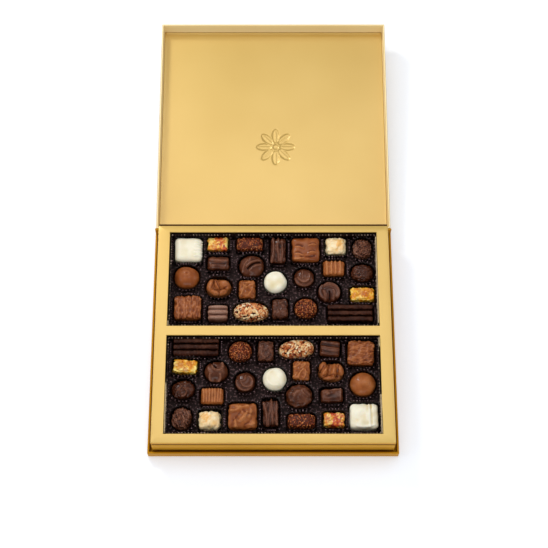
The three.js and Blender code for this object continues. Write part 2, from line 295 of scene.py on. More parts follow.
# Foil: name, two colours, roughness, metal, gloss, coat
gold = goldLook("goldFoil", (204, 165, 72), (212, 175, 84))
# a darker copy of the foil for the frame's walls and the back of the hinge strip: painted shade
shadedWallGold = goldLook("wallGoldPaintedShade", (198, 144, 34), (208, 154, 44), 0.45, 0.3, 0.12, 0.0)
# a still darker copy of the foil for the outer tray: painted shade
shadedTrayGold = goldLook("trayGoldPaintedShade", (183, 128, 18), (193, 138, 26), 0.45, 0.3, 0.06, 0.0)
# near-black gold for the groove in the frame's wall: painted shade
creaseShadeGold = goldLook("creaseGoldPaintedShade", (84, 46, 4), (96, 56, 8), 0.6, 0.0, 0.05, 0.0)
goldShell = goldLook("goldShellFoil", (204, 165, 72), (212, 175, 84), 0.44, 0.4, 0.4, 0.3)
goldLiner = goldLook("goldLinerFoil", (201, 164, 76), (209, 173, 88))
# a paler copy of the foil for the inside of the lid shell: painted light
litInsideGold = goldLook("insideGoldPaintedLight", (255, 229, 172), (255, 236, 184), 0.42, 0.0, 0.4, 0.3)

# Paper and board: name, roughness, gloss, colours from foot to tip (the pale tip colours are painted
# highlight), scale of the fibre
glassine = paperLook(
    "darkGlassine", 0.3, 0.4, [(0.0, (22, 8, 7)), (0.4, (46, 24, 24)), (1.0, (170, 136, 142))],
)
lining = paperLook(
    "liningGlassine", 0.4, 0.3, [(0.0, (24, 8, 6)), (0.4, (60, 36, 32)), (1.0, (238, 212, 190))],
)
bedPaper = paperLook("bedPaper", 0.7, 0.1, [(0.0, (26, 10, 8)), (1.0, (40, 20, 18))], 700)
board = paperLook("paleBoardEdge", 0.7, 0.3, [(0.0, (236, 216, 172)), (1.0, (250, 236, 200))], 600)
# dark brown for the strip behind the frame: painted shade at the hinge
hingeShadeStrip = paperLook("hingeShadeStrip", 0.6, 0.1, [(0.0, (70, 32, 4)), (1.0, (90, 50, 10))], 400)
# dark bed paper with pale specks; the specks are painted highlights standing for glints on pleats
glintSpeckled, speckledTree, speckledShader = newLook("glintSpeckledPaper", 0.6, gloss=0.15)
glintSpecks = [(0.0, (20, 7, 5)), (0.54, (32, 13, 11)), (0.64, (96, 70, 70)), (1.0, (130, 104, 108))]
wire(speckledShader, {"Base Color": rampOf(speckledTree, grainOf(speckledTree, 460, 2), glintSpecks)})

# Chocolate: name, three browns, roughness, gloss, crests (wear and painted highlight), hollows (painted
# shade), coat
milk = chocolateLook(
    "milkChocolate", (124, 62, 25), (144, 76, 33), (162, 92, 46), 0.34, 0.14, (206, 136, 86), (190, 162, 144),
)
warmMilk = chocolateLook(
    "warmMilkChocolate", (130, 70, 30), (152, 84, 38), (170, 102, 54), 0.34, 0.1, (206, 138, 86),
    (190, 162, 144),
)
dark = chocolateLook(
    "darkChocolate", (64, 29, 14), (86, 44, 25), (104, 59, 37), 0.28, 0.08, (146, 98, 76), coat=0.34,
)
crunchDark = chocolateLook(
    "crunchChocolate", (74, 37, 22), (98, 56, 38), (118, 74, 52), 0.26, 0.1, (158, 112, 92),
)
deepDark = chocolateLook(
    "deepDarkChocolate", (50, 19, 8), (68, 31, 15), (86, 44, 25), 0.28, 0.08, (132, 86, 66), coat=0.34,
)
# a paler copy of the dark chocolate for the wave bar in the rear: painted sheen on its glossy bands
sheenPaleDark = chocolateLook(
    "paleDarkChocolateSheen", (88, 52, 38), (116, 74, 57), (138, 96, 76), 0.3, 0.1, (184, 146, 126),
)
# a darker chocolate for the sticks: partly its own deeper tone, partly painted shade for their low place; its
# pale crest colour gives painted highlight lines
shadedStickDark = chocolateLook(
    "stickChocolatePartShaded", (44, 18, 10), (61, 30, 19), (82, 46, 31), 0.34, 0.05, (160, 114, 92),
    (110, 90, 80), 0.06,
)
white = chocolateLook(
    "whiteChocolate", (238, 228, 196), (243, 236, 212), (250, 244, 222), 0.4, 0.2, (254, 250, 236),
    (232, 216, 172),
)
nutMilk = chocolateLook(
    "nutMilkChocolate", (148, 84, 42), (168, 98, 52), (184, 114, 66), 0.32, 0.16, (222, 156, 104),
    (176, 144, 124), 0.3,
)
nutBase = chocolateLook("nutBed", (66, 24, 10), (84, 34, 14), (104, 46, 22), 0.5, 0.1, (150, 84, 48))

# Nuts and creams: name, colours, stain colours or roughness
cream = stainedLook(
    "creamCoat", [(0.3, (244, 206, 144)), (0.7, (254, 236, 196))],
    [(0.35, (246, 190, 96)), (0.65, (234, 168, 76))], 0.42,
)
brittle = stainedLook(
    "nutBrittle", [(0.38, (224, 128, 28)), (0.5, (240, 178, 66)), (0.6, (252, 218, 124))],
    [(0.32, (226, 122, 34)), (0.5, (196, 68, 22)), (0.66, (120, 26, 10))], 0.26,
)
honey = stainedLook(
    "honeyNuts", [(0.38, (216, 130, 12)), (0.52, (242, 180, 40)), (0.64, (254, 228, 128))],
    [(0.3, (212, 120, 28)), (0.52, (176, 76, 14)), (0.72, (248, 216, 140))], 0.26,
)
chips = crumbLook("choppedNuts", [
    (0.0, (120, 44, 16)), (0.25, (190, 96, 44)), (0.5, (236, 160, 96)), (0.75, (254, 216, 156)),
    (1.0, (255, 244, 208)),
], 0.45)
grains = crumbLook("chocolateGrains", [
    (0.0, (44, 10, 2)), (0.4, (110, 40, 12)), (0.7, (184, 84, 34)), (1.0, (252, 164, 92)),
], 0.3)
print("finishes ready")


# Gold card parts

frameSizes = {
    "crestIn": 4.4,        # from the outer edge to the crest of the border
    "outerFall": {"rear": 0.85, "left": 0.55, "right": 0.3, "front": 0.28},  # outer edge under the top
    "crestFall": {"rear": 0.34, "left": 0.2, "right": 0.06, "front": 0.05},  # the same for the crest
    "windowX": 106.75,
    "rearWindow": (5.2, 108.4),
    "frontWindow": (-106.6, -5.0),
    "foil": 1.5,           # foil wrapped into the windows, before the dark lining
    "fold": 0.5,           # radius of the folds
    "crease": (4.6, 5.2, 9.6, 10.4),  # under the top: wall, groove, its end, wall again
    "creaseDepth": 0.6,
}


def buildFrame(s):
    (x0, y0, bottom), (x1, y1, top) = boxInMm("frame")
    rear, front = s["rearWindow"], s["frontWindow"]
    wx, crest = s["windowX"], s["crestIn"]
    near = 1.0  # a point nearer to a line than this lies on it
    xs = [x0, x0 + crest, -wx, wx, x1 - crest, x1]
    ys = [y0, y0 + crest, front[0], front[1], 0, rear[0], rear[1], y1 - crest * 0.75, y1]
    bm = gridOnLines(xs, ys)
    middles = [(f, f.calc_center_median()) for f in bm.faces]
    holes = [f for f, m in middles if abs(m.x) < wx and any(a < m.y < b for a, b in (rear, front))]
    corners = [(f, m) for f, m in middles if (m.y > rear[1] or m.y < front[0]) and abs(m.x) > wx]
    bmesh.ops.delete(bm, geom=holes, context="FACES")
    for f, m in corners:  # the border is folded from each window corner to the outside
        ordered = sorted(f.verts, key=lambda v: (abs(v.co.x), abs(v.co.y)))
        if (abs(m.x) > x1 - crest) == (abs(m.y) > y1 - crest * 0.9):
            for e in bmesh.ops.connect_verts(bm, verts=[ordered[0], ordered[-1]])["edges"]:
                e.smooth = False

    def atOutside(v):
        return abs(abs(v.co.x) - x1) < near or min(abs(v.co.y - y0), abs(v.co.y - y1)) < near

    for v in bm.verts:
        x, y = v.co.x, v.co.y
        aroundWindow = abs(x) < wx + near and front[0] - near < y < rear[1] + near
        if y > rear[1] + near:
            hand = "rear"
        elif y < front[0] - near:
            hand = "front"
        else:
            hand = "left" if x < 0 else "right"
        if atOutside(v):
            v.co.z = top - s["outerFall"][hand]
        else:
            v.co.z = top if aroundWindow or abs(y) < near else top - s["crestFall"][hand]

    def drop(edges, z, inward=0.0):
        verts, lower = extrudeEdges(bm, edges)
        for v in verts:
            v.co.z = z
            if inward and abs(abs(v.co.x) - x1) < near:
                v.co.x = math.copysign(x1 - inward, v.co.x)
            if inward and min(abs(v.co.y - y0), abs(v.co.y - y1)) < near:
                v.co.y += inward if v.co.y < 0 else -inward
        return lower

    rims = [e for e in bm.edges if e.is_boundary]
    outside = [e for e in rims if all(atOutside(v) for v in e.verts)]
    windows = [e for e in rims if not all(atOutside(v) for v in e.verts)]
    levels = [top - under for under in s["crease"]]
    border = set(bm.faces)
    lower = drop(drop(outside, levels[0]), levels[1], s["creaseDepth"])
    aboveGroove = set(bm.faces)
    lower = drop(lower, levels[2])
    groove = set(bm.faces) - aboveGroove
    lower = drop(lower, levels[3])
    for v in {v for e in lower for v in e.verts}:  # back out to the face of the wall
        if abs(abs(v.co.x) - x1) < near:
            v.co.x = math.copysign(x1, v.co.x)
        for y in (y0, y1):
            if abs(v.co.y - y) < near:
                v.co.y = y
    feet = drop(lower, bottom)
    # the groove is painted near black and the walls darker than the top, both as painted shade
    for f in set(bm.faces) - border:
        f.material_index = 3 if f in groove else 2
    foil = drop(windows, top - s["foil"])
    aboveWells = set(bm.faces)
    wells = drop(foil, bottom)
    for f in set(bm.faces) - aboveWells:
        f.material_index = 1
    bmesh.ops.triangle_fill(bm, use_beauty=True, edges=feet + wells)
    toMetres(bm)
    bmesh.ops.recalc_face_normals(bm, faces=bm.faces)
    folds = [e for e in foldsOver(bm, 45) if min(v.co.z for v in e.verts) > (top - 1.2) * mm]
    uprights = [e for e in foldsOver(bm, 60) if abs(e.verts[0].co.z - e.verts[1].co.z) > 3 * mm]
    roundEdges(bm, list(set(folds + uprights)), s["fold"] * mm, 4)
    return bm


frameLooks = [gold, bedPaper, shadedWallGold, creaseShadeGold]
keepFlats(addPiece("gold_frame", buildFrame(frameSizes), "base", frameLooks, ["frame"]))

# A dark strip behind the frame stands in for the shadow line at the hinge: painted shade
hingeSizes = {"size": (236.8, 1.6, 14.3), "centre": (0, 116.95, 27.45), "corner": 0.4}
bm = bmesh.new()
addBlock(bm, hingeSizes["size"], hingeSizes["centre"])
roundEdges(bm, list(bm.edges), hingeSizes["corner"], 2, clamp=False)
toMetres(bm)
bm.normal_update()
for f in bm.faces:  # its back takes the walls' darker gold, also painted shade
    f.material_index = 1 if f.normal.y > 0.5 else 0
keepFlats(addPiece("hinge_shade_strip", bm, "base", [hingeShadeStrip, shadedWallGold]))

cardSizes = {"outer_tray": {"fold": 0.55}, "lid_shell": {"fold": 0.7}}
for node, s in cardSizes.items():
    body = "lid" if node == "lid_shell" else "base"
    bm = solidCopy(node)
    roundEdges(bm, foldsOver(bm, 30), s["fold"] * mm, 4)
    if body == "lid":  # its inner face and walls take a paler copy of the foil, which is painted light
        low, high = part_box(node)
        centre = (low + high) / 2
        for f in bm.faces:
            inward = (centre - f.calc_center_median()).to_2d().dot(f.normal.to_2d()) > 0
            f.material_index = 1 if f.normal.z > 0.9 or (inward and abs(f.normal.z) < 0.5) else 0
    looks = [shadedTrayGold] if body == "base" else [goldShell, litInsideGold]
    keepFlats(addPiece("gold_" + node, bm, body, looks, [node]))

# The lid's lining pad, drawn as it lies in the open lid: x across, y away from the hinge, z up
linerSizes = {
    "width": 241.96, "near": 2.1, "far": 237.98, "face": -15.7, "back": -17.7, "fold": 0.5,
    "flower": (2.5, 99.3), "petals": 8, "reach": 21.0, "depth": 0.75, "step": 0.75,
    "margin": 1.15,  # the fine grid goes this much past the flower
    "petal": (0.6, 0.4, 0.19), "heart": 0.14,  # middle, half length and half width, parts of the reach
    "roll": ((0.0, 0.45), (0.6, 0.4), (2.2, 0.08), (2.9, 0.0)),  # distance from the edge, rise
}


def flowerDepth(x, y, s):
    # a plain flower of eight petals pressed into the card
    dx, dy = x - s["flower"][0], y - s["flower"][1]
    away = math.hypot(dx, dy)
    if away > s["reach"] * s["margin"]:
        return 0.0
    turn = math.atan2(dy, dx)
    wedge = 2 * math.pi / s["petals"]
    local = (turn + wedge / 2) % wedge - wedge / 2
    along, across = away * math.cos(local), away * math.sin(local)
    middle, half, width = (s["reach"] * part for part in s["petal"])
    petal = ((along - middle) / half) ** 2 + (across / width) ** 2
    heart = (away / (s["reach"] * s["heart"])) ** 2
    pressed = 1 - soft(0.7, 1.1, min(petal, heart * 0.9))
    vein = math.exp(-(across / 0.5) ** 2) * (1 - soft(0.5, 0.9, petal)) * 0.5
    return -s["depth"] * max(pressed - vein, 0)


def buildLiner(s):
    half = s["width"] / 2
    cx, cy = s["flower"]
    reach = s["reach"] * s["margin"]
    count = int(2 * reach / s["step"])
    dense = [-reach + 2 * reach * i / count for i in range(count + 1)]
    roll = [away for away, _ in s["roll"]]
    xs = [-half + a for a in roll] + [-half * 0.6] + [cx + d for d in dense] + [half * 0.6]
    xs += [half - a for a in reversed(roll)]
    ys = [s["near"], cy - reach - 20] + [cy + d for d in dense] + [cy + reach + 40]
    ys += [s["far"] - a for a in reversed(roll)]
    bm = gridOnLines(xs, ys)
    for v in bm.verts:
        away = min(half - abs(v.co.x), s["far"] - v.co.y)
        rise = next((up for place, up in s["roll"] if away < place + 0.01), 0)
        v.co.z = s["face"] + rise + flowerDepth(v.co.x, v.co.y, s)
    verts, rim = extrudeEdges(bm, [e for e in bm.edges if e.is_boundary])
    for v in verts:
        v.co.z = s["back"]
    bmesh.ops.holes_fill(bm, edges=rim, sides=0)
    bmesh.ops.recalc_face_normals(bm, faces=bm.faces)
    toMetres(bm)
    underFace = (s["face"] - 0.5) * mm
    upright = [e for e in foldsOver(bm, 60) if max(v.co.z for v in e.verts) < underFace]
    roundEdges(bm, upright, s["fold"] * mm, 3)
    hinge = next(j for j in frame["joints"] if j["name"] == "lid_hinge")
    lean = math.radians(180 - hinge["range_deg"][1])
    bm.transform(Matrix.Translation(Vector(hinge["pos_m"])) @ Matrix.Rotation(lean, 4, "X"))
    return bm


bm = buildLiner(linerSizes)
keepFlats(addPiece("gold_lid_lining", bm, "lid", [goldLiner], ["lid_liner"]))
print("gold card ready")


# Pralines
# Marks are in millimetres from the middle of a piece, x to the right and y to the rear.
# Each one gives the rise at a point p; up is how far the surface faces up there.

def turned(x, y, turn):
    a = math.radians(turn)
    return x * math.cos(a) + y * math.sin(a), y * math.cos(a) - x * math.sin(a)


def onTop(height, awayFrom):
    # a soft hump or hollow that only faces looking up have
    def rise(p, up, seed):
        away = awayFrom(p) if up > 0.05 else 9
        return height * math.exp(-away) * soft(0.05, 0.5, up) if away < 9 else 0.0
    return rise


def stroke(x, y, length, turn, width, height, bow=0):
    def awayFrom(p):
        along, across = turned(p.x - x, p.y - y, turn)
        across -= bow * (2 * along / length) ** 2
        past = max(abs(along) - length / 2, 0)
        return (across * across + past * past) / (width / 2) ** 2
    return onTop(height, awayFrom)


def arc(x, y, radius, width, height, begin, end):
    def awayFrom(p):
        turn = (math.degrees(math.atan2(p.y - y, p.x - x)) - begin) % 360
        span = (end - begin) % 360 or 360
        past = 0 if turn <= span else min(turn - span, 360 - turn) * math.pi / 180 * radius
        off = math.hypot(p.x - x, p.y - y) - radius
        return (off * off + past * past) / (width / 2) ** 2
    return onTop(height, awayFrom)


def spot(x, y, halfLength, halfWidth, height, turn=0):
    def awayFrom(p):
        along, across = turned(p.x - x, p.y - y, turn)
        return (along / halfLength) ** 2 + (across / halfWidth) ** 2
    return onTop(height, awayFrom)


def grain(size, height):
    def rise(p, up, seed):
        return height * noise.noise(Vector((p.x / size + seed, p.y / size, p.z / size)))
    return rise


def streak(pitch, height, turn, length):
    def rise(p, up, seed):
        along, across = turned(p.x, p.y, turn)
        ridge = 1 - abs(noise.noise(Vector((along / length + seed, across / pitch, p.z * 0.1)))) * 4
        return height * max(ridge, -0.6) * soft(0.0, 0.5, up)
    return rise


reliefStrength = 2.1
waist = 0.3       # share of a piece's height under its widest line
undersideTop = 7  # how square the hidden lower half is


def bodyPoint(x, y, z, size, power, topPower):
    # where a direction meets the body of a praline, and how that place was found
    w, d, h = size
    plan = (abs(x) ** power + abs(y) ** power) ** (1 / power)
    steep = topPower if z > 0 else undersideTop
    reach = (plan ** steep + abs(z) ** steep) ** (-1 / steep)
    tall = h * (1 - waist) if z > 0 else h * waist
    return (x * reach * w / 2, y * reach * d / 2, z * reach * tall), reach, steep, tall


def formBody(size, power, topPower, fine=True):
    # a block or dome pressed out of a cube or a ball; power says how square it is
    bm = bmesh.new()
    if power > 3:
        bmesh.ops.create_cube(bm, size=2)
        bmesh.ops.subdivide_edges(bm, edges=bm.edges, cuts=27 if fine else 12, use_grid_fill=True)
    else:
        bmesh.ops.create_icosphere(bm, subdivisions=6 if fine else 5, radius=1)
    for v in bm.verts:
        v.co = bodyPoint(*v.co, size, power, topPower)[0]
    return bm


def formCluster(nuts):
    # whole nuts side by side under one coat, their sharp folds left where they meet
    bm = bmesh.new()
    foot = -4.0  # sits flat on a foot of chocolate
    for x, y, z, long, wide, tall, turn in nuts:
        place = Matrix.Translation((x, y, z)) @ Matrix.Rotation(math.radians(turn), 4, "Z")
        size = Matrix.Diagonal((long, wide, tall, 1))
        bmesh.ops.create_icosphere(bm, subdivisions=5, radius=1, matrix=place @ size)
    for v in bm.verts:
        v.co.z = max(v.co.z, foot)
    return bm


def fitTo(bm, node, turn=0.0):
    # turns the piece a little, then brings it to the size and place of its solid
    low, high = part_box(node)
    if turn:
        spin = Matrix.Rotation(math.radians(turn), 3, "Z")
        bmesh.ops.rotate(bm, cent=(0, 0, 0), matrix=spin, verts=bm.verts)
    start = Vector([min(v.co[i] for v in bm.verts) for i in range(3)])
    size = Vector([max(v.co[i] for v in bm.verts) for i in range(3)]) - start
    scale = [(high[i] - low[i]) / size[i] for i in range(3)]
    for v in bm.verts:
        v.co = [low[i] + (v.co[i] - start[i]) * scale[i] for i in range(3)]
    bm.normal_update()


def paintStains(bm, stains, seed):
    layer = layerOf(bm, "stain")
    for v in bm.verts:
        share = 0.0
        for x, y, radius, strength in stains:
            away = math.hypot(v.co.x - x, v.co.y - y) / radius
            wobble = noise.noise(Vector((v.co.x * 0.5 + seed, v.co.y * 0.5, v.co.z * 0.5))) * 0.9
            share = max(share, strength * (1 - soft(0.6, 1.15, away + wobble)))
        v[layer] = share


def applyRelief(bm, marks, seed):
    bm.normal_update()
    crest = layerOf(bm, "crest")
    moves = [(v, sum(mark(v.co, v.normal.z, seed) for mark in marks) * reliefStrength) for v in bm.verts]
    for v, rise in moves:
        # this crest mark later gives painted shade in the hollows and a painted highlight on the crests
        v[crest] = min(max(0.5 + rise / 2.6, 0), 1)
        v.co += v.normal * rise


def scatterCrumbs(bm, crumb, size, power, topPower, seed):
    # crumbs pressed into the coating, spread evenly over the top and the sides
    rng = random.Random(seed)
    layer = layerOf(bm, "tint")
    long, wide, thick = crumb["size"]
    goldenAngle = 2.399963
    for i in range(crumb["count"]):
        z = 1 - (i + 0.5) / crumb["count"] * crumb["cover"]
        ring = math.sqrt(max(1 - z * z, 0))
        turn = i * goldenAngle + rng.uniform(-0.4, 0.4)
        x, y = math.cos(turn) * ring, math.sin(turn) * ring
        place, reach, steep, tall = bodyPoint(x, y, z, size, power, topPower)
        nx = math.copysign(abs(x * reach) ** (power - 1), x) / size[0]
        ny = math.copysign(abs(y * reach) ** (power - 1), y) / size[1]
        nz = math.copysign(abs(z * reach) ** (steep - 1), z) / (2 * tall)
        out = Vector((nx, ny, nz)).normalized()
        face = out.to_track_quat("Z", "Y").to_matrix().to_4x4()
        grow = rng.uniform(0.7, 1.25)
        spin = Matrix.Rotation(rng.uniform(0, math.pi), 4, "Z")
        tilt = Matrix.Rotation(rng.uniform(-1, 1) * crumb["tilt"], 4, "X")
        sizes = (long * grow, wide * rng.uniform(0.75, 1.2), thick * rng.uniform(0.8, 1.2), 1)
        matrix = Matrix.Translation(Vector(place) + out * crumb["lift"]) @ face @ spin @ tilt
        matrix = matrix @ Matrix.Diagonal(sizes)
        if crumb["shape"] == "chip":
            made = bmesh.ops.create_cube(bm, size=2, matrix=matrix)["verts"]
            for v in made:
                v.co += Vector([rng.uniform(-1, 1) for _ in range(3)]) * thick * 0.45
        else:
            made = bmesh.ops.create_icosphere(bm, subdivisions=1, radius=1, matrix=matrix)["verts"]
        tint = rng.random()
        for v in made:
            v[layer] = tint
        for f in {f for v in made for f in v.link_faces}:
            f.material_index = 1


